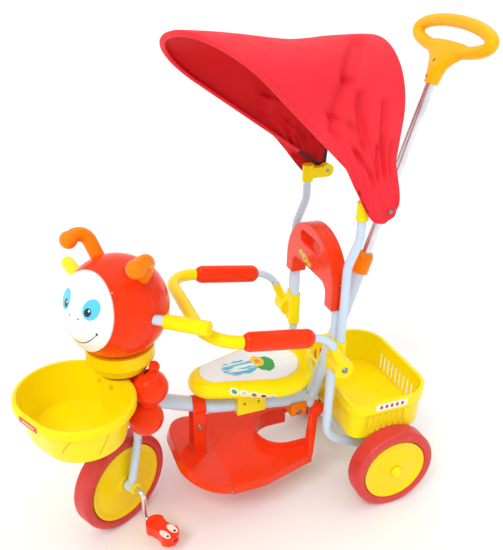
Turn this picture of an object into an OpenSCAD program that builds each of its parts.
// Toddler push along trike: steel tube frame, bug-headed steering column, folding guard bar,
// tilting sunshade and a telescoping push bar. The trike faces -Y, +X is the rider's left and
// the ground is z = 0. The rear axle stands over the origin.

/* [Wheels] */
// Diameter of the rear wheels
rear_wheel_d = 180; // [160:1:200]
// Diameter of the front wheel
front_wheel_d = 200; // [185:1:206]
// Width of every tyre
tyre_w = 42; // [36:1:44]
// Corner radius of every tyre
tyre_edge_r = 9; // [4:0.5:9.5]
// Thickness of the rear tyres from wheel centre to tread
rear_tyre_t = 22; // [21:0.5:34]
// Thickness of the front tyre from wheel centre to tread
front_tyre_t = 20; // [20:0.5:30]
// Distance between the middles of the rear tyres
rear_track = 306; // [300:1:330]
// Diameter of the rear axle
axle_d = 12; // [8:0.5:14]
// Wall thickness of the wheel centres
hub_wall = 3.5; // [2.5:0.1:5]
// Depth of the dish in each wheel centre
hub_dish = 5; // [2:0.5:8]
// Diameter of the boss in each wheel centre
boss_d = 32; // [26:1:40]
// Height of the raised lines on the rear wheel centres
line_h = 1.2; // [0.5:0.1:2]
// Width of the raised lines on the rear wheel centres
line_w = 3; // [1:0.5:5]

/* [Steering] */
// Distance of the steering axis ahead of the rear axle
steer_reach = 508; // [500:1:520]
// Forward offset of the front wheel from the steering axis
fork_offset = 24; // [18:1:28]
// Angle of the steering at rest, turned to the rider's left
steer_angle = 29; // [0:1:30]
// Diameter of the steering stem
stem_d = 22; // [20:0.5:23]
// Diameter of the fork tubes
fork_d = 16; // [14:0.5:17]
// Distance of each fork tube from the middle of the wheel
fork_x = 32; // [31:0.5:34]
// Height of the fork crown
crown_z = 232; // [228:1:234]
// Diameter of the head tube
head_tube_d = 38; // [36:0.5:40]
// Height of the head tube's lower end
head_low_z = 254; // [253:1:258]
// Height of the head tube's upper end
head_top_z = 308; // [300:1:309]
// Thickness of the bush flanges
flange_t = 4; // [2:0.5:5]
// Height of the handlebar at the middle
bar_z = 482; // [476:1:488]
// Height of the handlebar ends
bar_end_z = 490; // [484:1:496]
// Half width of the handlebar
bar_half_w = 184; // [170:1:195]
// Sweep of the handlebar ends behind its middle
bar_sweep = 36; // [20:1:45]
// Half width of the handlebar's straight middle
bar_mid_half = 70; // [60:1:80]
// Diameter of the handlebar tube
bar_d = 18; // [16:0.5:20]
// Length of each grip
grip_l = 82; // [70:1:90]
// Diameter of each grip
grip_d = 26; // [23:0.5:30]

/* [Crank and pedals] */
// Diameter of the crank rod
crank_d = 10; // [8:0.5:11]
// Length of each crank arm
crank_l = 62; // [55:1:66]
// Distance of each crank arm from the middle of the wheel
crank_x = 66; // [62:1:72]
// Bend radius of the crank rod
crank_bend = 11; // [8:0.5:14]
// Length of each pedal
pedal_l = 74; // [64:1:80]
// Width of each pedal
pedal_w = 40; // [34:1:44]
// Thickness of each pedal
pedal_t = 20; // [18:0.5:24]
// Diameter of the bushes outside the fork ends
bush_d = 24; // [20:0.5:28]
// Thickness of the bushes outside the fork ends
bush_t = 5; // [3:0.5:7]

/* [Bug head and body] */
// Diameter of the bug's head
head_d = 184; // [176:1:188]
// Height of the bottom of the bug's head
bug_low_z = 388; // [386:1:392]
// Wall thickness of the moulded shells
shell_t = 2.6; // [2:0.1:3.5]
// Diameter of the face plate as seen from the front
face_d = 134; // [128:1:138]
// Height of the face plate's middle above the middle of the head
face_up = 15; // [10:1:18]
// Diameter of the wide step of the neck collar
collar_d = 124; // [116:1:126]
// Diameter of the narrow step of the neck collar
collar_low_d = 102; // [90:1:106]
// Height of the collar's upper edge
collar_top_z = 404; // [400:1:406]
// Height of the collar's step
collar_step_z = 378; // [374:1:382]
// Height of the collar's lower edge
collar_low_z = 360; // [359:0.5:364]
// Diameter of the body balls
ball_d = 66; // [60:1:67]
// Distance of the body balls from the middle
ball_x = 64; // [63:0.5:67]
// Height of the upper body balls
ball_top_z = 331; // [328:1:333]
// Height of the lower body balls
ball_low_z = 272; // [270:1:276]
// Distance of the upper body balls behind the steering axis
ball_top_back = 10; // [9:0.5:12]
// Distance of the lower body balls ahead of the steering axis
ball_low_ahead = 5; // [2:0.5:7]
// Diameter of the small knobs on the body's shoulders
knob_d = 22; // [18:0.5:26]
// Diameter of the body's column
column_d = 80; // [74:1:82]
// Thickness of the antennae
antenna_d = 26; // [22:0.5:27]
// Height of the bend of the antennae
antenna_top_z = 600; // [592:1:606]

/* [Front basket] */
// Length of the basket across the trike
tub_l = 214; // [206:1:222]
// Width of the basket along the trike
tub_w = 178; // [172:1:186]
// Height of the basket's rim
tub_rim_z = 350; // [346:1:351]
// Height of the basket's floor
tub_low_z = 272; // [266:1:278]
// Draft of the basket's wall from rim to floor
tub_draft = 16; // [10:1:20]
// Radius of the rolled rims of both baskets
rim_r = 5; // [3.5:0.5:6]
// Height of the basket's rim band
tub_rim_h = 18; // [12:1:20]
// Distance of the basket's middle ahead of the steering axis
tub_ahead = 106; // [104:1:110]

/* [Frame tubes] */
// Diameter of the main tube
main_d = 30; // [27:0.5:32]
// Wall thickness of the steel tubes
tube_wall = 1.8; // [1.2:0.1:2.4]
// Height of the main tube at the steering axis
main_front_z = 284; // [282:0.5:286]
// Distance of the main tube's bend ahead of the rear axle
main_bend_y = 340; // [330:1:350]
// Height of the main tube's bend
main_bend_z = 218; // [214:1:220]
// Distance of the main tube's rear end ahead of the rear axle
main_rear_y = 104; // [102:1:108]
// Height of the main tube's rear end
main_rear_z = 181; // [179:1:183]
// Diameter of the rear stays
stay_d = 20; // [18:0.5:21]
// Distance from the middle to the rear stays' ends
stay_end_x = 112; // [108:1:114]
// Distance of the stays' meeting point ahead of the rear axle
stay_meet_y = 134; // [130:1:138]
// Half length of the tube round the rear axle
axle_tube_half = 124; // [120:1:126]
// Diameter of the tube round the rear axle
axle_tube_d = 25; // [22:0.5:26]
// Diameter of the back posts
post_d = 18; // [16:0.5:18.5]
// Distance of the back posts from the middle
post_x = 89; // [88.5:0.5:89.5]
// Distance of the back posts ahead of the rear axle
post_y = 121; // [119:0.5:123]
// Height of the back posts' upper ends
post_top_z = 500; // [490:1:505]
// Height of the bend at the foot of the back posts
post_bend_z = 150; // [146:1:154]
// Distance from the middle to the feet of the back posts
post_foot_x = 98; // [96:1:100]
// Bend radius of the frame tubes
frame_bend = 46; // [35:1:50]

/* [Push bar] */
// Lean of the push bar behind the vertical
push_lean = 17; // [16.5:0.1:17.5]
// Length of the push bar's socket above the main tube's middle
socket_l = 318; // [305:1:322]
// Diameter of the push bar's socket
socket_d = 27; // [26:0.5:28]
// Diameter of the push tube
push_d = 19; // [18:0.5:20]
// Length of the push tube above the socket
push_out_l = 386; // [375:1:395]
// Length of the push tube inside the socket
push_in_l = 150; // [145:1:155]
// Diameter of the collar on the socket
push_collar_d = 36; // [33:0.5:40]
// Length of the collar on the socket
push_collar_l = 34; // [28:1:38]
// Depth of the push tube in its handle
push_grip_depth = 30; // [24:1:34]
// Width of the handle loop across the trike
loop_w = 230; // [210:1:250]
// Height of the handle loop
loop_h = 62; // [58:1:70]
// Thickness of the handle loop
loop_d = 22; // [18:0.5:24]
// Height of the middle of the handle loop
loop_z = 909; // [904:1:914]
// Distance of the handle loop behind the rear axle
loop_y = 115; // [110:1:120]

/* [Seat and backrest] */
// Radius of the wide rear of the seat
seat_rear_r = 84; // [78:1:86]
// Radius of the narrow nose of the seat
seat_nose_r = 44; // [38:1:48]
// Distance of the seat's wide rear ahead of the rear axle
seat_rear_y = 207; // [205:1:210]
// Distance of the seat's nose circle ahead of the rear axle
seat_nose_y = 338; // [330:1:345]
// Height of the seat's upper face
seat_top_z = 297; // [294:1:300]
// Thickness of the seat
seat_t = 40; // [36:1:44]
// Height of the lip at the rear of the seat
seat_lip_h = 26; // [15:1:32]
// Width of the rim round the seat pad
seat_rim_w = 22; // [18:1:26]
// Thickness of the seat pad
pad_t = 5; // [4:0.5:7]
// Depth of the recess for the seat pad
pad_recess = 3; // [2:0.5:3.5]
// Length of the bracket under the seat
bracket_l = 60; // [50:1:70]
// Width of the bracket under the seat
bracket_w = 44; // [38:1:50]
// Distance of the bracket under the seat ahead of the rear axle
bracket_y = 258; // [250:1:265]
// Half width of the backrest
back_half_w = 99.6; // [99.4:0.1:99.7]
// Height of the middle of the backrest's arch
back_arch_z = 480; // [476:1:484]
// Height of the backrest's lower ends
back_low_z = 450; // [446:1:455]
// Thickness of the backrest
back_t = 30; // [28:1:34]
// Width of each backrest leg
back_leg_w = 28; // [26:1:32]
// Height of the backrest's panel above its lower ends
back_panel_h = 42; // [36:1:48]
// Width of the hand hole in the backrest
hand_hole_w = 84; // [70:1:90]
// Height of the hand hole in the backrest
hand_hole_h = 26; // [22:1:30]
// Height of the middle of the hand hole
hand_hole_z = 546; // [542:1:548]

/* [Guard bar] */
// Distance of the guard bar's sides from the middle
arm_x = 134; // [133:0.5:136]
// Height of the guard bar's pivot
arm_pivot_z = 346; // [344:1:348]
// Distance of the guard bar's pivot ahead of the rear axle
arm_pivot_y = 124; // [122:0.5:126]
// Distance of the guard bar's rear bend ahead of the rear axle
arm_rear_y = 158; // [152:1:162]
// Height of the guard bar's rear bend
arm_rear_z = 420; // [415:1:425]
// Distance of the guard bar's front end ahead of the rear axle
arm_front_y = 384; // [378:1:388]
// Height of the guard bar's front end
arm_front_z = 454; // [448:1:458]
// Diameter of the guard bar's tube
arm_d = 15; // [13:0.5:16]
// Bend radius of the guard bar
arm_bend = 60; // [50:1:62]
// Diameter of the guard bar's front sleeve
sleeve_d = 23; // [20:0.5:25]
// Diameter of the arm pads
arm_pad_d = 30; // [27:0.5:30]
// Length of the arm pads
arm_pad_l = 128; // [118:1:132]
// Diameter of the guard bar's pivot discs
eye_d = 38; // [34:1:42]
// Thickness of the guard bar's pivot discs
eye_t = 18; // [17.5:0.5:20]
// Diameter of the pivot bolts
bolt_d = 6; // [5:0.5:8]
// Diameter of the bolt and screw heads
bolt_head_d = 12; // [10:0.5:13]
// Height of the bolt and screw heads
bolt_head_t = 3; // [2:0.5:4]

/* [Sunshade] */
// Diameter of the sunshade posts
shade_post_d = 16; // [14:0.5:16.5]
// Distance of the sunshade posts from the middle
shade_post_x = 108; // [107.5:0.5:109]
// Distance of the sunshade posts' lower parts ahead of the rear axle
shade_low_y = 118; // [116:0.5:120]
// Distance of the sunshade posts' upper parts ahead of the rear axle
shade_top_y = 98; // [96:1:100]
// Height of the lower bend of the sunshade posts
shade_bend_low_z = 540; // [530:1:545]
// Height of the upper bend of the sunshade posts
shade_bend_top_z = 590; // [580:1:595]
// Height of the sunshade posts' upper ends
shade_post_top_z = 658; // [650:1:660]
// Height of the sunshade's pivot
shade_pivot_z = 648; // [646:1:650]
// Distance of the sunshade's pivot ahead of the rear axle
shade_pivot_y = 60; // [58:1:62]
// Slope of the front bow above level
front_bow_slope = 39.7; // [38:0.1:42]
// Twist of the front bow that lifts its left side and lowers its right side
front_bow_twist = 4.8; // [0:0.1:5]
// Length of the front bow from pivot to tip
front_bow_l = 436; // [420:1:440]
// Lean of the rear bow behind the vertical
rear_bow_lean = 4; // [2:0.5:5]
// Height of the rear bow from pivot to top
rear_bow_l = 262; // [250:1:266]
// Diameter of the bow rods
bow_d = 6; // [5:0.5:7]
// Distance of the front bow's sides from the middle
front_bow_x = 122; // [121.5:0.1:123]
// Distance of the rear bow's sides from the middle
rear_bow_x = 114.6; // [114:0.1:115]
// Thickness of the cover cloth
cloth_t = 1.6; // [1.2:0.1:2.5]
// Sag of the cover between the bows
cloth_sag = 14; // [5:1:20]
// Reach of the cover behind the rear bow
hem_reach = 10; // [6:1:14]

/* [Footrest] */
// Half width of the footrest's floor
foot_half_w = 115; // [108:1:120]
// Half width of the footrest's rear end
foot_rear_half_w = 84; // [78:1:90]
// Height of the footrest's floor
foot_z = 104; // [100:1:108]
// Depth of the footrest's skirt
foot_skirt = 20; // [14:1:24]
// Wall thickness of the footrest
foot_t = 3; // [2.4:0.1:4]
// Distance of the foot of the front ramp ahead of the rear axle
foot_ramp_y = 330; // [325:1:335]
// Length of the front ramp
foot_ramp_l = 88; // [80:1:92]
// Slope of the front ramp
foot_ramp_slope = 20; // [16:1:24]
// Distance of the footrest's rear end ahead of the rear axle
foot_rear_y = 146; // [142:1:150]
// Half width of the opening in the footrest's floor
foot_hole_half = 52; // [46:1:56]
// Distance of the opening's front end ahead of the rear axle
foot_hole_y = 236; // [230:1:240]
// Height of the lip round the opening
foot_lip_h = 22; // [14:1:26]
// Width of the front strap of the footrest
strap_w = 25; // [20:1:28]
// Distance of the front strap ahead of the rear axle
strap_y = 366; // [362:1:370]

/* [Rear basket] */
// Width of the basket across the trike
crate_w = 262; // [250:1:268]
// Distance of the basket's rear wall behind the rear axle
crate_rear_y = 97; // [90:1:100]
// Distance of the basket's front wall ahead of the rear axle
crate_front_y = 84; // [82:1:86]
// Height of the basket's rim
crate_rim_z = 240; // [236:1:244]
// Height of the rear basket's rim band
crate_rim_h = 24; // [16:1:26]
// Height of the basket's floor
crate_low_z = 159; // [158:1:163]
// Corner radius at the basket's rear
crate_rear_r = 62; // [50:1:70]
// Corner radius at the basket's front
crate_front_r = 24; // [18:1:30]
// Wall thickness of the basket
crate_t = 2.6; // [2:0.1:3.5]
// Width of the slots in the basket's walls
slot_w = 6; // [4:0.5:8]
// Number of slots in each side wall
side_slots = 7; // [4:1:8]
// Number of slots in the rear wall
rear_slots = 9; // [5:1:9]

/* [Clearances] */
// Gap between fixed pieces that meet
fit_gap = 0.15; // [0.1:0.05:0.3]
// Radial gap of a shaft that runs in a hole
run_gap = 0.06; // [0.03:0.01:0.1]
// Gap between pieces that move past each other
move_gap = 0.6; // [0.4:0.1:1.2]
// Extra length of a cutting shape past the face that it cuts
cut_extra = 1; // [0.5:0.5:2]

/* [Hidden] */
$fn = 64;
half_share = 0.5;
quarter_turn = 90;
half_turn = 180;
full_turn = 360;
hull_fn = 32;
red = [0.90, 0.12, 0.08];
tyre_red = [0.85, 0.27, 0.30];
cloth_red = [0.86, 0.10, 0.12];
yellow = [0.98, 0.83, 0.06];
orange = [0.98, 0.58, 0.08];
pale_steel = [0.80, 0.86, 0.94];
chrome = [0.80, 0.81, 0.83];
white = [0.97, 0.97, 0.96];
dark_steel = [0.35, 0.36, 0.38];

// Derived heights, radii and places
rear_r = rear_wheel_d / 2;
front_r = front_wheel_d / 2;
rear_hub_d = rear_wheel_d - rear_tyre_t * 2;
front_hub_d = front_wheel_d - front_tyre_t * 2;
wheel_x = rear_track / 2;
tyre_half = tyre_w / 2;
main_r = main_d / 2;
stay_r = stay_d / 2;
post_r = post_d / 2;
stem_r = stem_d / 2;
head_r = head_d / 2;
head_z = bug_low_z + head_r;
socket_r = socket_d / 2;
push_r = push_d / 2;
arm_r = arm_d / 2;
bolt_r = bolt_d / 2;
bow_r = bow_d / 2;
axle_r = axle_d / 2;
crank_r = crank_d / 2;
column_r = column_d / 2;
ball_r = ball_d / 2;
main_path = [[0, -steer_reach, main_front_z], [0, -main_bend_y, main_bend_z],
    [0, -main_rear_y, main_rear_z]];
rear_fall_share = (main_bend_z - main_rear_z) / (main_bend_y - main_rear_y);
front_fall_share = (main_front_z - main_bend_z) / (steer_reach - main_bend_y);
stay_meet = [0, -stay_meet_y, main_height(stay_meet_y)];
stay_end = [stay_end_x, 0, rear_r];
stay_way = unit(stay_end - stay_meet);
push_way = [0, sin(push_lean), cos(push_lean)];
socket_foot_y = stay_meet_y - stay_d;
socket_foot = [0, -socket_foot_y, main_height(socket_foot_y)];
socket_top = socket_foot + push_way * socket_l;
push_top = socket_top + push_way * push_out_l;
push_low = socket_top - push_way * push_in_l;
shade_pivot = [0, -shade_pivot_y, shade_pivot_z];

// Height of the main tube's axis at a distance ahead of the rear axle
function main_height(ahead) = ahead < main_bend_y
    ? main_rear_z + (ahead - main_rear_y) * rear_fall_share
    : main_bend_z + (ahead - main_bend_y) * front_fall_share;
function unit(v) = v / norm(v);
function mirror_x(v) = [-v.x, v.y, v.z];
function reversed(list) = [for (i = [len(list) - 1 : -1 : 0]) list[i]];
function mix(a, b, share) = a + (b - a) * share;
// Length that a round bend takes from the straight runs at a corner of a path
function bend_cut(path, i, bend) =
    bend * tan(acos(unit(path[i] - path[i - 1]) * unit(path[i + 1] - path[i])) / 2);

// Children stand on +Z; they are moved to a point and turned along a direction
module along(point, way) {
    translate(point)
        rotate([0, acos(way.z), atan2(way.y, way.x)])
            children();
}

// Round bend between two straight runs
module elbow(before, corner, after, bend, radius) {
    way_in = unit(corner - before);
    way_out = unit(after - corner);
    turn = acos(way_in * way_out);
    axis = unit(cross(way_in, way_out));
    inward = cross(axis, way_in);
    centre = corner - way_in * bend * tan(turn / 2) + inward * bend;
    multmatrix([[-inward.x, way_in.x, axis.x, centre.x], [-inward.y, way_in.y, axis.y, centre.y],
            [-inward.z, way_in.z, axis.z, centre.z], [0, 0, 0, 1]])
        rotate_extrude(angle = turn)
            translate([bend, 0])
                circle(r = radius);
}

// Rod along a path of straight runs joined by round bends, with a fine band where a bend starts
module bent_rod(path, bend, radius, extra = 0) {
    last = len(path) - 1;
    for (i = [0 : last - 1]) {
        run = path[i + 1] - path[i];
        start_cut = i == 0 ? -extra : bend_cut(path, i, bend) + band_gap;
        end_cut = i == last - 1 ? -extra : bend_cut(path, i + 1, bend) + band_gap;
        along(path[i] + unit(run) * start_cut, unit(run))
            cylinder(h = norm(run) - start_cut - end_cut, r = radius);
    }
    for (i = [1 : 1 : last - 1]) {
        elbow(path[i - 1], path[i], path[i + 1], bend, radius);
        for (next = [path[i - 1], path[i + 1]]) {
            way = unit(next - path[i]);
            along(path[i] + way * (bend_cut(path, i, bend) - band_l / 2), way)
                cylinder(h = band_l, r = radius + band_h);
        }
    }
}
band_l = 1;
band_h = 0.05;
band_gap = 0.1;

// Tube along a path, open at both ends
module bent_tube(path, bend, outer, inner) {
    difference() {
        bent_rod(path, bend, outer);
        bent_rod(path, bend, inner, cut_extra);
    }
}

// Rod from one point to another
module rod(from, to, radius) {
    along(from, unit(to - from))
        cylinder(h = norm(to - from), r = radius);
}

// Rod along X, centred on its middle
module cross_rod(radius, length) {
    rotate([0, quarter_turn, 0])
        cylinder(h = length, r = radius, center = true);
}

module rounded_2d(size, radius) {
    square([size.x - radius * 2, size.y], center = true);
    square([size.x, size.y - radius * 2], center = true);
    for (sx = [-1, 1], sy = [-1, 1])
        translate([sx * (size.x / 2 - radius), sy * (size.y / 2 - radius)])
            circle(r = radius);
}

// Two circles on the Y axis joined by their outer tangents
module bean_2d(r_rear, y_rear, r_front, y_front) {
    tilt = asin((r_rear - r_front) / (y_rear - y_front));
    translate([0, y_rear]) circle(r = r_rear);
    translate([0, y_front]) circle(r = r_front);
    near = [(r_rear - band_h) * cos(tilt), y_rear - r_rear * sin(tilt)];
    far = [(r_front - band_h) * cos(tilt), y_front - r_front * sin(tilt)];
    polygon([far, near, [-near.x, near.y], [-far.x, far.y]]);
}

// Children are drawn straight ahead and turned with the steering
module steered() {
    translate([0, -steer_reach, 0])
        rotate([0, 0, steer_angle])
            children();
}

module at_front_axle() {
    steered()
        translate([0, -fork_offset, front_r])
            children();
}

// Bolt or screw along +Z with its round head at the origin
module screw(shank_r, length, head_d) {
    translate([0, 0, -length]) cylinder(h = length, r = shank_r);
    cylinder(h = bolt_head_t, d1 = head_d, d2 = head_d * screw_top_share);
}
screw_top_share = 0.7;

// Frame

module main_tubes(gap) {
    bent_rod(main_path, main_bend, main_r + gap);
}
main_bend = main_d * 5;
push_play = 0.35;
socket_bore_r = push_r + push_play;
axle_bore_r = axle_r + run_gap;
head_bore_r = head_tube_d / 2 - tube_wall * 2;
post_path = [[post_x, -post_y, post_top_z], [post_x, -post_y, post_bend_z],
    [post_foot_x, 0, rear_r]];

module frame_side() {
    rod(stay_meet, stay_end, stay_r);
    bent_rod(post_path, frame_bend, post_r);
}

module frame_side_bores() {
    rod(stay_meet, stay_end - stay_way * axle_tube_d, stay_r - tube_wall);
    translate([post_x, -post_y, post_bend_z + frame_bend])
        cylinder(h = post_top_z - post_bend_z, r = post_r - tube_wall);
}

module main_frame() {
    color(pale_steel)
        difference() {
            union() {
                translate([0, -steer_reach, head_low_z])
                    cylinder(h = head_top_z - head_low_z, d = head_tube_d);
                main_tubes(0);
                rod(socket_foot, socket_top, socket_r);
                translate([0, 0, rear_r]) cross_rod(axle_tube_d / 2, axle_tube_half * 2);
                frame_side();
                mirror([1, 0, 0]) frame_side();
            }
            translate([0, -steer_reach, head_low_z - cut_extra])
                cylinder(h = head_top_z - head_low_z + cut_extra * 2, r = head_bore_r);
            bent_rod(main_path, main_bend, main_r - tube_wall, cut_extra);
            rod(socket_top - push_way * push_in_l * 2, socket_top + push_way, socket_bore_r);
            translate([0, 0, rear_r]) cross_rod(axle_bore_r, (axle_tube_half + cut_extra) * 2);
            frame_side_bores();
            mirror([1, 0, 0]) frame_side_bores();
        }
}

cap_t = 6;
axle_half = wheel_x + tyre_half + cap_t;
module rear_axle() {
    color(chrome)
        translate([0, 0, rear_r])
            cross_rod(axle_r, axle_half * 2);
}

cap_d = axle_d * 2;
module axle_cap() {
    translate([axle_half - cap_t + move_gap * 2, 0, rear_r])
        rotate([0, quarter_turn, 0])
            difference() {
                cylinder(h = cap_t + shell_t, d1 = cap_d, d2 = cap_d * screw_top_share);
                translate([0, 0, -cut_extra])
                    cylinder(h = cap_t + cut_extra - move_gap * 2 + fit_gap, r = axle_r + fit_gap);
            }
}
module axle_caps() {
    color(yellow) {
        axle_cap();
        mirror([1, 0, 0]) axle_cap();
    }
}

module steering_bush() {
    difference() {
        union() {
            cylinder(h = flange_t, d = head_tube_d);
            cylinder(h = flange_t * 4, r = head_bore_r - fit_gap);
        }
        translate([0, 0, -cut_extra])
            cylinder(h = flange_t * 4 + cut_extra * 2, r = stem_r + run_gap);
    }
}
module steering_bushes() {
    color(white)
        translate([0, -steer_reach, 0]) {
            translate([0, 0, head_low_z - flange_t - fit_gap])
                steering_bush();
            translate([0, 0, head_top_z + flange_t + fit_gap])
                mirror([0, 0, 1])
                    steering_bush();
        }
}

// Orange collar that guides the push tube at the top of its socket
lower_collar_share = 0.6;
collar_cone_h = 8;
module push_socket_collar() {
    low = -push_collar_l * lower_collar_share;
    outer = push_collar_d / 2;
    color(orange)
        along(socket_top, push_way)
            rotate_extrude()
                polygon([[socket_r + fit_gap, low], [outer, low], [outer, low + push_collar_l],
                    [push_r + shell_t * 2, low + push_collar_l + collar_cone_h],
                    [socket_bore_r, low + push_collar_l + collar_cone_h], [socket_bore_r, fit_gap],
                    [socket_r + fit_gap, fit_gap]]);
}

// Seat

seat_edge_r = seat_t / 2;
seat_mid_z = seat_top_z - seat_edge_r;
module seat_ring(radius, y) {
    translate([0, y, seat_mid_z])
        rotate_extrude($fn = hull_fn)
            translate([radius - seat_edge_r, 0])
                circle(r = seat_edge_r, $fn = hull_fn);
}
pad_rear_r = seat_rear_r - seat_rim_w;
pad_nose_r = seat_nose_r - seat_rim_w / 2;
pad_nose_y = seat_nose_y - seat_rim_w / 2;
module pad_outline(gap) {
    bean_2d(pad_rear_r - gap, -seat_rear_y - seat_edge_r / 2, pad_nose_r - gap, -pad_nose_y);
}
bracket_top_z = seat_top_z - pad_recess - pad_t - shell_t;
module seat_shell() {
    color(yellow)
        difference() {
            union() {
                hull() {
                    seat_ring(seat_rear_r, -seat_rear_y);
                    seat_ring(seat_nose_r, -seat_nose_y);
                }
                translate([0, -seat_rear_y, seat_top_z - seat_edge_r])
                    rotate([0, 0, lip_start])
                        rotate_extrude(angle = half_turn - lip_start * 2)
                            translate([seat_rear_r - seat_edge_r * 2 / 3, (seat_lip_h + seat_edge_r) / 2])
                                rounded_2d([lip_t, seat_lip_h + seat_edge_r], lip_t / 2 - fit_gap);
            }
            translate([0, 0, seat_top_z - pad_recess]) linear_extrude(seat_lip_h) pad_outline(0);
            translate([0, 0, seat_top_z - seat_t - cut_extra])
                linear_extrude(bracket_top_z - seat_top_z + seat_t + cut_extra)
                    bean_2d(seat_rear_r - seat_edge_r / 2, -seat_rear_y, seat_nose_r - seat_edge_r / 2,
                        -seat_nose_y);
        }
}
lip_start = 38;
lip_t = 11;

module seat_pad() {
    color(white)
        translate([0, 0, seat_top_z - pad_recess + fit_gap])
            linear_extrude(pad_t - pad_recess / 2)
                pad_outline(fit_gap * 2);
}

module seat_bracket() {
    low_z = main_height(bracket_y) - main_r * 2 / 3;
    color(yellow)
        difference() {
            union() {
                translate([-bracket_w / 2, -bracket_y - bracket_l / 2, low_z])
                    cube([bracket_w, bracket_l, bracket_top_z - fit_gap - low_z - shell_t]);
                translate([0, -bracket_y, bracket_top_z - fit_gap - shell_t * 2])
                    linear_extrude(shell_t * 2)
                        rounded_2d([bracket_w * 2, bracket_l * 3 / 2], bracket_w / 4);
            }
            main_tubes(fit_gap);
            for (side = [-1, 1])
                translate([0, side * bracket_l / 4 - bracket_y, low_z + main_r * 5 / 3])
                    cross_rod(bolt_r, bracket_w * 2);
        }
}

clamp_l = 34;
clamp_y = 150;
module frame_clamp() {
    low_z = main_height(clamp_y) - main_d;
    color(orange)
        difference() {
            translate([-main_r * 4 / 3, -clamp_y - clamp_l / 2, low_z])
                cube([main_d * 4 / 3, clamp_l, main_d]);
            main_tubes(fit_gap);
            for (side = [0, 1])
                mirror([side, 0, 0]) rod(stay_meet, stay_end, stay_r + fit_gap);
            translate([0, -clamp_y, low_z + main_r / 2])
                cross_rod(bolt_r + run_gap, main_d * 2);
        }
}

module backrest_outline() {
    difference() {
        union() {
            translate([0, back_arch_z]) circle(r = back_half_w);
            translate([-back_half_w, back_low_z])
                square([back_half_w * 2, back_arch_z - back_low_z]);
        }
        translate([-back_half_w * 2, back_low_z - back_half_w * 2])
            square([back_half_w * 4, back_half_w * 2]);
        translate([0, back_low_z])
            rounded_2d([(back_half_w - back_leg_w) * 2, back_panel_h * 2], back_panel_h / 2);
        translate([0, hand_hole_z])
            rounded_2d([hand_hole_w, hand_hole_h], hand_hole_h / 2 - fit_gap);
    }
}
module backrest() {
    color(red)
        difference() {
            translate([0, -post_y + back_t / 2 - shell_t, 0])
                rotate([quarter_turn, 0, 0])
                    linear_extrude(back_t)
                        backrest_outline();
            for (side = [-1, 1])
                translate([side * post_x, -post_y, back_low_z - cut_extra])
                    cylinder(h = post_top_z - back_low_z + cut_extra + fit_gap, r = post_r + fit_gap);
        }
}

// Guard bar hinge

clamp_low_z = 320;
clamp_top_z = 388;
clamp_wall = 3;
clamp_face_x = arm_x - eye_t / 2 - move_gap;
shade_seat_z = arm_pivot_z + eye_d / 3;
module left_hinge_shape() {
    difference() {
        union() {
            translate([post_x, -post_y, clamp_low_z])
                cylinder(h = clamp_top_z - clamp_low_z, r = post_r + clamp_wall);
            translate([shade_post_x, -shade_low_y, clamp_low_z])
                cylinder(h = clamp_top_z - clamp_low_z, r = shade_post_d / 2 + clamp_wall);
            translate([post_x, -post_y - post_r * 2 / 3, clamp_low_z])
                cube([shade_post_x - post_x, post_d, clamp_top_z - clamp_low_z]);
            translate([post_x + post_d, -arm_pivot_y, arm_pivot_z])
                rotate([0, quarter_turn, 0])
                    cylinder(h = clamp_face_x - post_x - post_d, d = eye_d - band_gap);
        }
        translate([post_x, -post_y, clamp_low_z - cut_extra])
            cylinder(h = clamp_top_z, r = post_r + fit_gap);
        translate([shade_post_x, -shade_low_y, shade_seat_z])
            cylinder(h = clamp_top_z, r = shade_post_d / 2 + fit_gap);
        translate([clamp_face_x, -arm_pivot_y, arm_pivot_z])
            rotate([0, -quarter_turn, 0])
                translate([0, 0, -cut_extra])
                    cylinder(h = pivot_grip + cut_extra, r = bolt_r + fit_gap);
    }
}
pivot_grip = 13;
module left_hinge_clamp() {
    color(yellow) left_hinge_shape();
}
module right_hinge_clamp() {
    color(yellow) mirror([1, 0, 0]) left_hinge_shape();
}

shade_path = [[shade_post_x, -shade_low_y, shade_seat_z + fit_gap],
    [shade_post_x, -shade_low_y, shade_bend_low_z], [shade_post_x, -shade_top_y, shade_bend_top_z],
    [shade_post_x, -shade_top_y, shade_post_top_z]];
module left_shade_tube() {
    bent_tube(shade_path, frame_bend, shade_post_d / 2, shade_post_d / 2 - tube_wall);
}
module left_shade_post() {
    color(pale_steel) left_shade_tube();
}
module right_shade_post() {
    color(pale_steel) mirror([1, 0, 0]) left_shade_tube();
}

eye_plate_t = 5;
shade_boss_x = rear_bow_x - eye_plate_t / 2 - move_gap;
bow_eye_d = 20;
shade_boss_d = 26;
shade_boss_l = 14;
shade_sleeve_h = 30;
module left_shade_bracket_shape() {
    sleeve_r = shade_post_d / 2 + clamp_wall;
    difference() {
        union() {
            translate([shade_post_x, -shade_top_y, shade_post_top_z - shade_sleeve_h])
                cylinder(h = shade_sleeve_h + clamp_wall, r = sleeve_r);
            translate([shade_boss_x - shade_boss_l, -shade_pivot_y, shade_pivot_z])
                rotate([0, quarter_turn, 0])
                    cylinder(h = shade_boss_l, d = shade_boss_d);
            translate([shade_boss_x - shade_boss_l, -shade_top_y, shade_pivot_z - shade_boss_d / 2])
                cube([shade_boss_l, shade_top_y - shade_pivot_y, shade_boss_d * 4 / 5]);
        }
        translate([shade_post_x, -shade_top_y, shade_post_top_z - shade_sleeve_h * 2])
            cylinder(h = shade_sleeve_h * 2 + fit_gap, r = shade_post_d / 2 + fit_gap);
        translate([shade_boss_x, -shade_pivot_y, shade_pivot_z])
            cross_rod(bolt_r + fit_gap, (shade_boss_l + cut_extra) * 2);
    }
}
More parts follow.
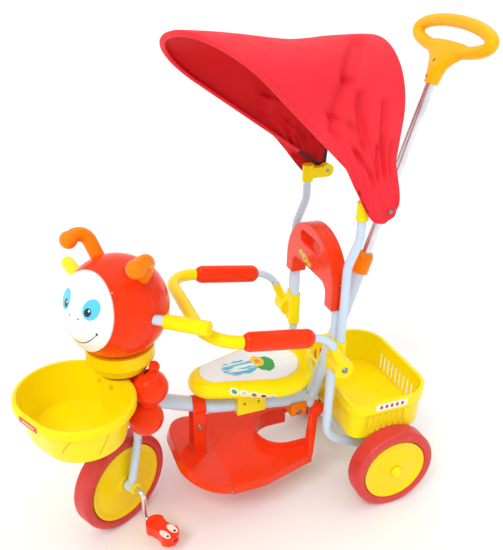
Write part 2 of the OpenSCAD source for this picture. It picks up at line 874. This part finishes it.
module left_shade_bracket() {
    color(yellow) left_shade_bracket_shape();
}
module right_shade_bracket() {
    color(yellow) mirror([1, 0, 0]) left_shade_bracket_shape();
}

// Bolts of the guard bar and of the sunshade
eye_inner_x = arm_x - eye_t / 2;
eye_outer_x = arm_x + eye_t / 2;
bow_outer_x = front_bow_x + eye_plate_t / 2;
module side_bolts() {
    translate([eye_outer_x + move_gap, -arm_pivot_y, arm_pivot_z])
        rotate([0, quarter_turn, 0])
            screw(bolt_r, eye_outer_x + move_gap - clamp_face_x + pivot_grip - fit_gap, bolt_head_d);
    translate([bow_outer_x + move_gap, -shade_pivot_y, shade_pivot_z])
        rotate([0, quarter_turn, 0])
            screw(bolt_r, bow_outer_x + move_gap - shade_boss_x + shade_boss_l, bolt_head_d);
}
module pivot_bolts() {
    color(dark_steel) {
        side_bolts();
        mirror([1, 0, 0]) side_bolts();
    }
}

strap_inner_x = main_r + fit_gap * 2;
strap_screw_z = 186;
module frame_screws() {
    color(dark_steel) {
        translate([strap_inner_x + foot_t + fit_gap, -strap_y, strap_screw_z])
            rotate([0, quarter_turn, 0])
                screw(bolt_r - run_gap, (strap_inner_x + foot_t) * 2, bolt_head_d);
        translate([main_r * 4 / 3 + fit_gap, -clamp_y, main_height(clamp_y) - main_d + main_r / 2])
            rotate([0, quarter_turn, 0])
                screw(bolt_r, main_d * 4 / 3, bolt_head_d);
    }
}

// Footrest

hook_low = [foot_rear_half_w - strap_w / 2, -foot_rear_y - foot_t, foot_z];
hook_share = 0.19;
hook_spot = stay_meet + (stay_end - stay_meet) * hook_share;
module foot_plan(inset) {
    half = foot_half_w - inset;
    rear_half = foot_rear_half_w - inset;
    front_y = -foot_ramp_y;
    rear_y = -foot_rear_y - inset;
    taper_y = -foot_hole_y - strap_w;
    polygon([[-half, front_y], [half, front_y], [half, taper_y], [rear_half, rear_y],
        [-rear_half, rear_y], [-half, taper_y]]);
}
module foot_hole_plan(grow) {
    half = foot_hole_half + grow;
    translate([0, -foot_hole_y + half - grow]) circle(r = half);
    translate([-half, -foot_hole_y + half - grow])
        square([half * 2, foot_hole_y - foot_rear_y]);
}
module ramp_plan(inset) {
    half = foot_half_w - foot_t - inset;
    corner = foot_ramp_l * ramp_corner_share;
    square([half * 2, (foot_ramp_l - corner) * 2], center = true);
    square([(half - corner) * 2, (foot_ramp_l - inset) * 2], center = true);
    for (side = [-1, 1])
        translate([side * (half - corner), -foot_ramp_l + corner])
            circle(r = corner - inset);
}
ramp_corner_share = 0.86;
// Tray with a skirt below its edge, open at the rear opening
module foot_floor() {
    difference() {
        union() {
            translate([0, 0, foot_z - foot_skirt]) linear_extrude(foot_skirt) foot_plan(0);
            intersection() {
                translate([0, 0, foot_z - foot_t]) linear_extrude(foot_lip_h) foot_hole_plan(foot_t);
                translate([0, 0, foot_z - foot_t]) linear_extrude(foot_lip_h) foot_plan(foot_t);
            }
        }
        translate([0, 0, foot_z - foot_skirt - cut_extra])
            linear_extrude(foot_skirt + cut_extra - foot_t)
                difference() {
                    foot_plan(foot_t);
                    foot_hole_plan(foot_t);
                }
        translate([0, 0, foot_z - foot_skirt * 2]) linear_extrude(foot_skirt * 4) foot_hole_plan(0);
    }
}
module foot_ramp() {
    translate([0, -foot_ramp_y, foot_z])
        rotate([-foot_ramp_slope, 0, 0])
            difference() {
                intersection() {
                    translate([0, 0, -foot_skirt]) linear_extrude(foot_skirt) ramp_plan(0);
                    translate([-foot_half_w, -foot_ramp_l, -foot_skirt])
                        cube([foot_half_w * 2, foot_ramp_l + foot_t, foot_skirt]);
                }
                translate([0, 0, -foot_skirt - cut_extra])
                    linear_extrude(foot_skirt + cut_extra - foot_t)
                        ramp_plan(foot_t);
            }
}
// Strap that goes over the main tube at the front
strap_top_z = main_height(strap_y);
module foot_strap() {
    strap_r = strap_inner_x + foot_t;
    difference() {
        translate([0, -strap_y + strap_w / 2, 0])
            rotate([quarter_turn, 0, 0])
                linear_extrude(strap_w) {
                    translate([0, strap_top_z]) circle(r = strap_r + strap_slack);
                    translate([-strap_r, foot_z + foot_t])
                        square([strap_r * 2, strap_top_z - foot_z]);
                }
        main_tubes(fit_gap);
        translate([-strap_inner_x, -strap_y - strap_w, foot_z + foot_skirt])
            cube([strap_inner_x * 2, strap_w * 2, strap_top_z - foot_z - foot_skirt]);
        translate([0, -strap_y, strap_screw_z]) cross_rod(bolt_r, strap_r * 4);
    }
}
strap_slack = 2;
// Arm that climbs from the rear of the tray and hooks over a stay
module foot_hook() {
    hook_r = stay_r + fit_gap + foot_t;
    difference() {
        union() {
            hull() {
                translate(hook_low + [0, 0, -foot_t])
                    linear_extrude(foot_t)
                        square([strap_w, foot_t * 3], center = true);
                along(hook_spot - stay_way * strap_w / 2, stay_way)
                    cylinder(h = strap_w / 2, r = hook_r * hook_core_share, $fn = hull_fn);
            }
            along(hook_spot - stay_way * strap_w / 2, stay_way)
                cylinder(h = strap_w, r = hook_r);
        }
        rod(stay_meet, stay_end, stay_r + fit_gap);
        main_tubes(fit_gap);
        rod(socket_foot, socket_top, socket_r + fit_gap);
    }
}
hook_core_share = 0.75;
module footrest() {
    color(red) {
        foot_floor();
        foot_ramp();
        foot_strap();
        foot_hook();
        mirror([1, 0, 0]) foot_hook();
    }
}

// Rear basket

crate_mid_y = (crate_rear_y - crate_front_y) / 2;
crate_l = crate_rear_y + crate_front_y;
module crate_plan(grow) {
    half = crate_w / 2 + grow;
    front = -crate_front_y - grow;
    rear = crate_rear_y + grow;
    rear_r = crate_rear_r + grow;
    front_r = crate_front_r + grow;
    translate([-half, front + front_r]) square([half * 2, rear - rear_r - front - front_r]);
    translate([-half + front_r, front]) square([(half - front_r) * 2, front_r]);
    translate([-half + rear_r, rear - rear_r]) square([(half - rear_r) * 2, rear_r]);
    for (side = [-1, 1]) {
        translate([side * (half - front_r), front + front_r]) circle(r = front_r);
        translate([side * (half - rear_r), rear - rear_r]) circle(r = rear_r);
    }
}
slot_h_share = 0.7;
slot_room = crate_rim_z - crate_rim_h - crate_low_z;
slot_h = slot_room * slot_h_share;
module crate_slots() {
    pitch = (crate_l - crate_rear_r - crate_front_r) / side_slots;
    slot_z = crate_low_z + slot_room * half_share - slot_h / 2;
    for (i = [0 : side_slots - 1])
        translate([-crate_w, -crate_front_y + crate_front_r + pitch * (i + half_share) - slot_w / 2, slot_z])
            cube([crate_w * 2, slot_w, slot_h]);
    rear_pitch = (crate_w - crate_rear_r * 2) / rear_slots;
    for (i = [0 : rear_slots - 1])
        translate([-crate_w / 2 + crate_rear_r + rear_pitch * (i + half_share) - slot_w / 2, 0, slot_z])
            cube([slot_w, crate_l, slot_h]);
}
module rear_basket() {
    color(yellow)
        difference() {
            union() {
                translate([0, 0, crate_low_z])
                    linear_extrude(crate_rim_z - crate_low_z)
                        crate_plan(0);
                translate([0, 0, crate_rim_z - crate_rim_h])
                    linear_extrude(crate_rim_h)
                        crate_plan(rim_r);
            }
            translate([0, 0, crate_low_z + crate_t])
                linear_extrude(crate_rim_z)
                    crate_plan(-crate_t);
            crate_slots();
            for (side = [0, 1])
                mirror([side, 0, 0]) {
                    rod(stay_meet, stay_end, stay_r + fit_gap);
                }
            rod(socket_foot, socket_top, socket_r + fit_gap);
        }
}

// Guard bar

arm_start = [arm_x, -arm_pivot_y, arm_pivot_z]
    + unit([0, -arm_rear_y + arm_pivot_y, arm_rear_z - arm_pivot_z]) * eye_d / 2;
arm_corner = [arm_x, -arm_front_y, arm_front_z];
arm_side = [arm_start, [arm_x, -arm_rear_y, arm_rear_z], arm_corner];
arm_path = concat(arm_side, reversed([for (p = arm_side) mirror_x(p)]));
arm_way = unit(arm_side[2] - arm_side[1]);
pad_end = arm_corner - arm_way * (arm_bend + move_gap);
pad_start = pad_end - arm_way * arm_pad_l;
module arm_tube() {
    color(pale_steel) bent_tube(arm_path, arm_bend, arm_r, arm_r - tube_wall);
}
sleeve_side = [pad_end + arm_way * fit_gap, arm_corner];
sleeve_path = concat(sleeve_side, reversed([for (p = sleeve_side) mirror_x(p)]));
module arm_sleeve() {
    color(yellow) bent_tube(sleeve_path, arm_bend, sleeve_d / 2, arm_r + fit_gap);
}
module left_pad_shape() {
    pad_r = arm_pad_d / 2;
    bore_r = arm_r + fit_gap;
    along(mix(pad_start, pad_end, half_share), arm_way)
        difference() {
            rotate_extrude()
                intersection() {
                    rounded_2d([arm_pad_d, arm_pad_l], pad_r * pad_end_share);
                    translate([bore_r, -arm_pad_l]) square([arm_pad_d, arm_pad_l * 2]);
                }
            translate([pad_r * pad_flat_share, -arm_pad_d, -arm_pad_l])
                cube([arm_pad_d, arm_pad_d * 2, arm_pad_l * 2]);
        }
}
pad_end_share = 0.95;
pad_flat_share = 0.72;
module left_arm_pad() {
    color(red) left_pad_shape();
}
module right_arm_pad() {
    color(red) mirror([1, 0, 0]) left_pad_shape();
}
eye_sleeve_l = 34;
module left_eye_shape() {
    way = unit(arm_side[1] - arm_side[0]);
    difference() {
        union() {
            translate([arm_x, -arm_pivot_y, arm_pivot_z]) cross_rod(eye_d / 2, eye_t);
            rod([arm_x, -arm_pivot_y, arm_pivot_z], arm_start + way * eye_sleeve_l, eye_t / 2 - band_gap);
        }
        rod(arm_start - way * fit_gap, arm_start + way * eye_sleeve_l * 2, arm_r + fit_gap);
        translate([arm_x, -arm_pivot_y, arm_pivot_z]) cross_rod(bolt_r + run_gap, eye_t * 2);
    }
}
module left_arm_eye() {
    color(yellow) left_eye_shape();
}
module right_arm_eye() {
    color(yellow) mirror([1, 0, 0]) left_eye_shape();
}

// Sunshade

function bow_way(angle) = [0, -cos(angle), sin(angle)];
// Points of a bow: two straight sides and a round end, from the left pivot to the right one
function bow_point(half, angle, twist, reach, share) =
    let (side = reach - half, arc = half * PI * half_share, at = share * 2 * (side + arc),
        turn = min(max((at - side) / arc, 0), 2) * quarter_turn,
        run = at < side ? at : at > side + arc * 2 ? (side + arc) * 2 - at : side + half * sin(turn))
    shade_pivot + [half * cos(turn), 0, 0] + bow_way(angle + twist * cos(turn)) * run;
module bow(half, angle, twist, reach) {
    left = shade_pivot + [half, 0, 0];
    right = shade_pivot - [half, 0, 0];
    left_way = bow_way(angle + twist);
    right_way = bow_way(angle - twist);
    bend = half - band_l * 2;
    bent_rod([left + left_way * bow_eye_d / 3, left + left_way * reach, right + right_way * reach,
        right + right_way * bow_eye_d / 3], bend, bow_r);
    for (foot = [left, right])
        translate(foot) difference() {
            cross_rod(bow_eye_d / 2, eye_plate_t);
            cross_rod(bolt_r + run_gap, eye_plate_t * 2);
        }
}
module front_bow() {
    color(dark_steel) bow(front_bow_x, front_bow_slope, front_bow_twist, front_bow_l);
}
module rear_bow() {
    color(dark_steel) bow(rear_bow_x, quarter_turn + rear_bow_lean, 0, rear_bow_l);
}

// Cover: a cloth sheet from the front bow over to the rear bow, sagging a little between them
cloth_rows = 12;
cloth_cols = 40;
cloth_edge_share = 0.02;
cover_gap = bow_r + cloth_t;
hem_way = [0, hem_reach, 0];
function cover_front(share) =
    bow_point(front_bow_x + cover_gap, front_bow_slope, front_bow_twist, front_bow_l + cover_gap, share)
        + [0, 0, bow_r * sin(share * half_turn)];
function cover_rear(share) =
    bow_point(rear_bow_x + cover_gap, quarter_turn + rear_bow_lean, 0, rear_bow_l + cover_gap, share) + hem_way;
function across(j) = cloth_edge_share + (1 - cloth_edge_share * 2) * j / cloth_cols;
// Fine folds run from the pivots and fade towards the tip
fold_count = 5;
fold_depth = 3;
function sag_way(share) = [cos(share * half_turn), 0, sin(share * half_turn)];
function cover_mid(i, j) =
    let (s = i / cloth_rows, t = across(j))
    mix(cover_front(t), cover_rear(t), s) 
        - sag_way(t) * cloth_sag * pow(sin(s * half_turn), 2) * sin(t * half_turn);
function cover_out(i, j) =
    let (s = i / cloth_rows, t = across(j))
    cover_mid(i, j) + sag_way(t) * (cloth_t
        + fold_depth * sin(s * half_turn) * pow(sin(s * half_turn * fold_count), 2) * sin(t * half_turn));
cloth_cell = cloth_cols + 1;
cloth_layer = cloth_cell * (cloth_rows + 1);
function spot(layer, i, j) = layer * cloth_layer + i * cloth_cell + j;
cloth_points = concat([for (i = [0 : cloth_rows], j = [0 : cloth_cols]) cover_mid(i, j)],
    [for (i = [0 : cloth_rows], j = [0 : cloth_cols]) cover_out(i, j)]);
function both_ways(a, b, c, d) = [[a, b, c], [a, c, d]];
cloth_faces = [
    for (i = [0 : cloth_rows - 1], j = [0 : cloth_cols - 1])
        each both_ways(spot(0, i, j), spot(0, i + 1, j), spot(0, i + 1, j + 1), spot(0, i, j + 1)),
    for (i = [0 : cloth_rows - 1], j = [0 : cloth_cols - 1])
        each both_ways(spot(1, i, j), spot(1, i, j + 1), spot(1, i + 1, j + 1), spot(1, i + 1, j)),
    for (j = [0 : cloth_cols - 1])
        each both_ways(spot(0, 0, j), spot(0, 0, j + 1), spot(1, 0, j + 1), spot(1, 0, j)),
    for (j = [0 : cloth_cols - 1])
        each both_ways(spot(0, cloth_rows, j), spot(1, cloth_rows, j), spot(1, cloth_rows, j + 1),
            spot(0, cloth_rows, j + 1)),
    for (i = [0 : cloth_rows - 1])
        each both_ways(spot(0, i, 0), spot(1, i, 0), spot(1, i + 1, 0), spot(0, i + 1, 0)),
    for (i = [0 : cloth_rows - 1])
        each both_ways(spot(0, i, cloth_cols), spot(0, i + 1, cloth_cols), spot(1, i + 1, cloth_cols),
            spot(1, i, cloth_cols))];
module shade_cover() {
    color(cloth_red) polyhedron(cloth_points, cloth_faces);
}

// Push bar

module push_tube() {
    color(chrome)
        along(push_low, push_way)
            difference() {
                cylinder(h = push_in_l + push_out_l, r = push_r);
                translate([0, 0, -cut_extra])
                    cylinder(h = push_in_l + push_out_l + cut_extra * 2, r = push_r - tube_wall);
            }
}
loop_r = loop_d / 2;
loop_arc_r = loop_h / 2 - loop_r;
loop_half = loop_w / 2 - loop_h / 2;
loop_mid = [0, loop_y, loop_z];
// Oval loop on a flared neck that grips the push tube
module push_handle() {
    cap_low = push_top - push_way * push_grip_depth;
    cap_r = push_r + shell_t * 2;
    neck_r = loop_r * neck_share;
    color(orange)
        difference() {
            union() {
                rod(cap_low, push_top, cap_r);
                hull() {
                    rod(push_top - push_way * loop_d, push_top, cap_r * neck_share, $fn = hull_fn);
                    translate(loop_mid - [0, 0, loop_arc_r])
                        cross_rod(neck_r, loop_half, $fn = hull_fn);
                }
                translate(loop_mid) {
                    for (s = [-1, 1])
                        translate([0, 0, s * loop_arc_r]) cross_rod(loop_r, (loop_half + band_gap) * 2);
                    for (side = [0, 1])
                        mirror([side, 0, 0])
                            translate([loop_half, 0, 0])
                                rotate([quarter_turn, 0, 0])
                                    rotate([0, 0, -quarter_turn])
                                        rotate_extrude(angle = half_turn)
                                            translate([loop_arc_r, 0])
                                                circle(r = loop_r + band_h);
                }
            }
            rod(cap_low - push_way, push_top + push_way * fit_gap, push_r + fit_gap);
        }
}
neck_share = 0.9;

// Fork and handlebar

fork_eye_r = bush_d / 2;
fork_eye_l = fork_d + shell_t;
fork_side = [[fork_x, -fork_offset, front_r], [fork_x, 0, crown_z - fork_d * 2], [fork_x, 0, crown_z]];
fork_path = concat(fork_side, reversed([for (p = fork_side) mirror_x(p)]));
module fork() {
    color(pale_steel)
        steered()
            difference() {
                union() {
                    translate([0, 0, crown_z + fork_d / 2])
                        cylinder(h = bar_z - crown_z - fork_d / 2, r = stem_r);
                    translate([0, 0, crown_z]) cylinder(h = crown_rise, d = head_tube_d);
                    bent_rod(fork_path, fork_d * fork_bend_share, fork_d / 2);
                    for (side = [-1, 1])
                        translate([side * fork_x, -fork_offset, front_r])
                            cross_rod(fork_eye_r, fork_eye_l);
                }
                translate([0, -fork_offset, front_r])
                    cross_rod(crank_r + run_gap, fork_x * 4);
                translate([0, 0, bar_z]) bar_shape(fit_gap);
            }
}
fork_bend_share = 1.1;
crown_rise = head_low_z - flange_t - crown_z - move_gap;
bar_path = [[bar_half_w, bar_sweep, bar_end_z - bar_z], [bar_mid_half, 0, 0],
    [-bar_mid_half, 0, 0], [-bar_half_w, bar_sweep, bar_end_z - bar_z]];
module bar_shape(gap) {
    bent_rod(bar_path, bar_d * 2, bar_d / 2 + gap);
}
module handlebar() {
    color(pale_steel)
        steered()
            translate([0, 0, bar_z])
                bent_tube(bar_path, bar_d * 2, bar_d / 2, bar_d / 2 - tube_wall);
}
grip_way = unit(bar_path[0] - bar_path[1]);
module left_grip_shape() {
    grip_r = grip_d / 2;
    along(bar_path[0] + [0, 0, bar_z] - grip_way * (grip_l - shell_t), grip_way)
        difference() {
            union() {
                cylinder(h = grip_l, r = grip_r);
                for (i = [0, 1])
                    translate([0, 0, i * (grip_l - shell_t * 2)])
                        cylinder(h = shell_t * 2, r = grip_r + shell_t);
                for (i = [1 : grip_ribs])
                    translate([0, 0, grip_l * i / (grip_ribs + 1)])
                        cylinder(h = shell_t, r = grip_r + shell_t / 4);
            }
            translate([0, 0, -cut_extra])
                cylinder(h = grip_l - shell_t + fit_gap + cut_extra, r = bar_d / 2 + fit_gap);
        }
}
grip_ribs = 6;
module left_grip() {
    color(yellow) steered() left_grip_shape();
}
module right_grip() {
    color(yellow) steered() mirror([1, 0, 0]) left_grip_shape();
}

// Bug head

head_split_y = 6;
head_mid = [0, 0, head_z];
antenna_in = 39;
antenna_x = head_r - antenna_in;
antenna_back = 14;
antenna_out = 32;
antenna_curl = 32;
antenna_root = [antenna_x, antenna_back,
    head_z + sqrt(pow(head_r, 2) - pow(antenna_x, 2) - pow(antenna_back, 2))];
antenna_socket = 12;
antenna_path = [antenna_root - [0, 0, antenna_socket],
    [antenna_x + antenna_out, antenna_back / 2, antenna_top_z],
    [antenna_x + antenna_out, antenna_back / 2 - antenna_curl, antenna_top_z - antenna_d / 2]];
module head_ball() {
    difference() {
        translate(head_mid) sphere(r = head_r);
        translate(head_mid) sphere(r = head_r - shell_t);
        cylinder(h = head_z, r = stem_r * 2);
        translate([0, 0, bar_z]) bar_shape(move_gap);
        for (side = [0, 1])
            mirror([side, 0, 0]) antenna_shape(fit_gap);
        rotate([quarter_turn, 0, 0])
            translate([0, head_z + face_up, 0])
                cylinder(h = head_d, d = face_d - seat_rim_w);
    }
}
module head_half(front) {
    cut = front ? 1 : 0;
    intersection() {
        head_ball();
        translate([-head_d, front ? -head_d * 2 + head_split_y : head_split_y + fit_gap, 0])
            cube([head_d * 2, head_d * 2, head_z * 2]);
    }
}
module head_front() {
    color(red) steered() head_half(true);
}
module head_back() {
    color(red) steered() head_half(false);
}
// White mask that covers the front of the head
module face_plate() {
    color(white)
        steered()
            difference() {
                intersection() {
                    translate(head_mid) sphere(r = head_r + fit_gap + shell_t);
                    rotate([quarter_turn, 0, 0])
                        translate([0, head_z + face_up, 0])
                            cylinder(h = head_d, d = face_d);
                }
                translate(head_mid) sphere(r = head_r + fit_gap);
            }
}
module antenna_shape(gap) {
    bent_rod(antenna_path, antenna_d * antenna_bend_share, antenna_d / 2 + gap);
    translate(antenna_path[2]) sphere(r = antenna_d / 2 * tip_share + gap);
}
tip_share = 1.22;
antenna_bend_share = 0.8;
module left_antenna() {
    color(orange) steered() antenna_shape(0);
}
module right_antenna() {
    color(orange) steered() mirror([1, 0, 0]) antenna_shape(0);
}

module neck_collar() {
    color(yellow)
        steered()
            difference() {
                union() {
                    translate([0, 0, collar_step_z])
                        cylinder(h = collar_top_z - collar_step_z, d = collar_d);
                    translate([0, 0, collar_low_z])
                        cylinder(h = collar_step_z - collar_low_z, d1 = collar_low_d, d2 = collar_d - rim_r * 2);
                }
                translate(head_mid) sphere(r = head_r + fit_gap);
                translate([0, 0, collar_low_z - cut_extra])
                    cylinder(h = head_r, r = stem_r + fit_gap);
                rotate_extrude()
                    polygon([[stem_r + shell_t * 2, collar_low_z - cut_extra],
                        [collar_low_d / 2 - shell_t * 2, collar_low_z - cut_extra],
                        [collar_low_d / 2 - shell_t * 2, collar_top_z - rim_r * 2],
                        [stem_r + shell_t * 2, collar_step_z + rim_r]]);
            }
}

// Red body with two balls at each side
body_low_z = head_top_z + flange_t + move_gap * 4;
module body_side(shrink) {
    translate([ball_x, ball_top_back, ball_top_z]) sphere(r = ball_r - shrink);
    translate([ball_x, -ball_low_ahead, ball_low_z]) sphere(r = ball_r - shrink);
    rod([ball_x, ball_top_back, ball_top_z], [ball_x, -ball_low_ahead, ball_low_z],
        ball_r * half_share - shrink);
}
module body_knobs() {
    for (i = [0, 1])
        translate([ball_x + knob_d * knob_out_share * i, ball_top_back + knob_d * (1 - i) * half_share,
                ball_top_z + ball_r - knob_d / 4 + knob_d * half_share * (1 - i)])
            sphere(r = knob_d / 2 * (1 - i * knob_step_share));
}
knob_out_share = 0.5;
knob_step_share = 0.25;
module bug_body() {
    body_top_z = collar_low_z - fit_gap;
    color(red)
        steered()
            difference() {
                union() {
                    translate([0, 0, body_low_z]) cylinder(h = body_top_z - body_low_z, r = column_r);
                    for (side = [0, 1])
                        mirror([side, 0, 0]) {
                            body_side(0);
                            body_knobs();
                        }
                }
                for (side = [0, 1])
                    mirror([side, 0, 0])
                        difference() {
                            body_side(shell_t);
                            cylinder(h = body_top_z, r = column_r);
                        }
                for (side = [-1, 1])
                    translate([side * ball_x, -ball_low_ahead, ball_low_z - ball_d])
                        cylinder(h = ball_d, r = bolt_r);
                translate([0, 0, body_low_z - cut_extra])
                    cylinder(h = collar_low_z, r = stem_r + fit_gap);
                translate([0, 0, body_low_z - cut_extra])
                    difference() {
                        cylinder(h = body_top_z - body_low_z - shell_t, r = column_r - shell_t);
                        cylinder(h = collar_low_z, r = stem_r + shell_t * 2);
                    }
                translate([0, 0, collar_low_z - fit_gap])
                    cylinder(h = ball_d, d = collar_d + fit_gap * 2);
                basket_screw_holes(fit_gap);
            }
}

// Front basket: round ends, straight middle and a hollow back that fits the body's column
tub_end_r = tub_w / 2;
tub_mid_l = tub_l - tub_w;
tub_wall = 2.4;
module tub_profile(inset) {
    low_r = tub_end_r - tub_draft;
    polygon([[0, tub_low_z + inset], [low_r - inset, tub_low_z + inset],
        [tub_end_r - inset, tub_rim_z + inset], [0, tub_rim_z + inset]]);
}
module tub_sweep() {
    for (side = [0, 1])
        mirror([side, 0, 0])
            translate([tub_mid_l / 2, 0, 0])
                rotate([0, 0, -quarter_turn])
                    rotate_extrude(angle = half_turn)
                        children();
    for (turn = [0, half_turn])
        rotate([quarter_turn, 0, turn + quarter_turn])
            linear_extrude(tub_mid_l, center = true)
                children();
}
module tub_rim() {
    wall_in = tub_wall / 2 + tub_draft * tub_rim_h / (tub_rim_z - tub_low_z);
    translate([tub_end_r, tub_rim_z])
        polygon([[-wall_in, -tub_rim_h], [rim_r * half_share, -tub_rim_h],
            [rim_r, -tub_rim_h + rim_r * half_share], [rim_r, -rim_r * half_share],
            [rim_r * half_share, band_gap * 4], [-tub_wall / 2, band_gap * 4]]);
}
tub_column_r = column_r + fit_gap;
module front_basket() {
    color(yellow)
        steered()
            difference() {
                translate([0, -tub_ahead, 0]) {
                    tub_sweep() tub_profile(0);
                    tub_sweep() tub_rim();
                }
                difference() {
                    translate([0, -tub_ahead, 0]) tub_sweep() tub_profile(tub_wall);
                    cylinder(h = tub_rim_z, r = tub_column_r + tub_wall);
                }
                translate([0, 0, tub_low_z - cut_extra]) cylinder(h = tub_rim_z, r = tub_column_r);
                for (side = [0, 1])
                    mirror([side, 0, 0]) {
                        translate([ball_x, ball_top_back, ball_top_z]) sphere(r = ball_r + fit_gap);
                        translate([ball_x, -ball_low_ahead, ball_low_z]) sphere(r = ball_r + fit_gap);
                    }
                basket_screw_holes(fit_gap);
            }
}
basket_screw_z = 336;
basket_screw_x = 16;
basket_screw_l = 24;
basket_screw_y = -sqrt(pow(tub_column_r + tub_wall, 2) - pow(basket_screw_x - bolt_head_d / 3, 2)) - fit_gap;
module basket_screw_holes(gap) {
    for (side = [-1, 1])
        translate([side * basket_screw_x, basket_screw_y - cut_extra, basket_screw_z])
            rotate([-quarter_turn, 0, 0])
                cylinder(h = basket_screw_l + cut_extra * 2, r = bolt_r / 2 + gap);
}
module basket_screws() {
    color(dark_steel)
        steered()
            for (side = [-1, 1])
                translate([side * basket_screw_x, basket_screw_y, basket_screw_z])
                    rotate([quarter_turn, 0, 0])
                        screw(bolt_r / 2, basket_screw_l, bolt_head_d * 2 / 3);
}

// Front wheel, crank and pedals

fork_bush_x = fork_x + fork_eye_l / 2 + move_gap;
module fork_bushes() {
    color(yellow)
        at_front_axle()
            for (side = [-1, 1])
                translate([side * (fork_bush_x + bush_t / 2), 0, 0])
                    difference() {
                        cross_rod(bush_d / 2, bush_t);
                        cross_rod(crank_r + run_gap, bush_t * 2);
                    }
}

tyre_edge_share = 0.46;
module tyre(outer, inner) {
    rotate([0, quarter_turn, 0])
        rotate_extrude()
            translate([(outer + inner) / 2, 0])
                rounded_2d([outer - inner, tyre_w], min(tyre_edge_r, (outer - inner) * tyre_edge_share));
}
module front_tyre() {
    color(tyre_red) at_front_axle() tyre(front_r, front_hub_d / 2 + fit_gap);
}

// Half of a wheel centre, face outward along +X and ribs inside
module hub_shell(hub_r, bore_r, inner_x, outer_x) {
    boss_r = boss_d / 2;
    face_x = outer_x - hub_dish;
    rim_in = hub_r - hub_wall * 2;
    rotate([0, quarter_turn, 0]) {
        rotate_extrude()
            polygon([[bore_r, inner_x], [boss_r, inner_x], [boss_r, face_x - hub_wall],
                [rim_in, face_x - hub_wall], [hub_r - hub_wall, inner_x], [hub_r, inner_x],
                [hub_r, outer_x - hub_wall / 2], [hub_r - hub_wall, outer_x - hub_wall / 2],
                [rim_in - hub_dish, face_x], [boss_r + hub_dish, face_x + hub_dish / 2],
                [boss_r, outer_x], [bore_r, outer_x]]);
        for (i = [1 : hub_ribs])
            rotate([0, 0, i * full_turn / hub_ribs])
                translate([boss_r - hub_wall, -hub_wall / 2, inner_x + hub_wall])
                    cube([hub_r - boss_r, hub_wall, face_x - inner_x - hub_wall * 3 / 2]);
    }
}
hub_ribs = 6;
module front_hub_left() {
    color(yellow) at_front_axle() hub_shell(front_hub_d / 2, crank_r + fit_gap, fit_gap, tyre_half);
}
module front_hub_right() {
    color(yellow)
        at_front_axle()
            mirror([1, 0, 0])
                hub_shell(front_hub_d / 2, crank_r + fit_gap, fit_gap, tyre_half);
}

spindle_x = crank_x + crank_r + pedal_l + move_gap * 4;
module crank_rod() {
    color(chrome)
        at_front_axle()
            bent_rod([[spindle_x, 0, -crank_l], [crank_x, 0, -crank_l], [crank_x, 0, 0],
                [-crank_x, 0, 0], [-crank_x, 0, crank_l], [-spindle_x, 0, crank_l]],
                crank_bend, crank_r);
}
pedal_in_x = crank_x + crank_bend + move_gap;
module pedal_shape() {
    lobe_r = pedal_w / 2;
    offset_x = pedal_l / 2 - lobe_r;
    waist_r = lobe_r * 2;
    difference() {
        translate([0, 0, -pedal_t / 2])
            linear_extrude(pedal_t)
                difference() {
                    union() {
                        for (s = [-1, 1])
                            translate([s * offset_x, 0]) circle(r = lobe_r);
                        square([offset_x * 2, pedal_w], center = true);
                    }
                    for (s = [-1, 1])
                        translate([0, s * (waist_r + lobe_r - pedal_waist)]) circle(r = waist_r);
                }
        cross_rod(crank_r + run_gap, pedal_l * 2);
        for (side = [-1, 1], face = [-1, 1])
            translate([side * offset_x, 0, face * pedal_t / 2])
                cylinder(h = line_h, r = lobe_r * inlay_share, center = true);
    }
}
pedal_waist = 5;
inlay_share = 0.62;
module left_pedal() {
    color(red) at_front_axle() translate([pedal_in_x + pedal_l / 2, 0, -crank_l]) pedal_shape();
}
module right_pedal() {
    color(red) at_front_axle() translate([-pedal_in_x - pedal_l / 2, 0, crank_l]) pedal_shape();
}

// Rear wheels

module rear_tyre() {
    translate([wheel_x, 0, rear_r]) tyre(rear_r, rear_hub_d / 2 + fit_gap);
}
// Wheel centre with two raised lines that make a chevron on its face
module rear_hub() {
    face_x = tyre_half - hub_dish;
    line_l = rear_hub_d * chevron_share;
    translate([wheel_x, 0, rear_r]) {
        hub_shell(rear_hub_d / 2, axle_r + run_gap, -tyre_half + move_gap, tyre_half);
        for (side = [-1, 1])
            translate([face_x - line_h, boss_d * 5 / 6, side * boss_d / 8])
                rotate([side * chevron_angle, 0, 0])
                    translate([0, -line_l, -line_w / 2])
                        cube([line_h * 2, line_l - boss_d / 4, line_w]);
    }
}
chevron_share = 0.36;
chevron_angle = -20;
module left_rear_tyre() {
    color(tyre_red) rear_tyre();
}
module left_rear_hub() {
    color(yellow) rear_hub();
}
module right_rear_tyre() {
    color(tyre_red) mirror([1, 0, 0]) rear_tyre();
}
module right_rear_hub() {
    color(yellow) mirror([1, 0, 0]) rear_hub();
}

main_frame();
rear_axle();
axle_caps();
steering_bushes();
push_socket_collar();
seat_shell();
seat_pad();
seat_bracket();
frame_clamp();
backrest();
left_hinge_clamp();
right_hinge_clamp();
left_shade_post();
right_shade_post();
left_shade_bracket();
right_shade_bracket();
footrest();
rear_basket();
pivot_bolts();
frame_screws();
arm_tube();
arm_sleeve();
left_arm_pad();
right_arm_pad();
left_arm_eye();
right_arm_eye();
front_bow();
rear_bow();
shade_cover();
push_tube();
push_handle();
fork();
handlebar();
left_grip();
right_grip();
head_front();
head_back();
face_plate();
left_antenna();
right_antenna();
neck_collar();
bug_body();
front_basket();
basket_screws();
fork_bushes();
front_tyre();
front_hub_left();
front_hub_right();
crank_rod();
left_pedal();
right_pedal();
left_rear_tyre();
left_rear_hub();
right_rear_tyre();
right_rear_hub();
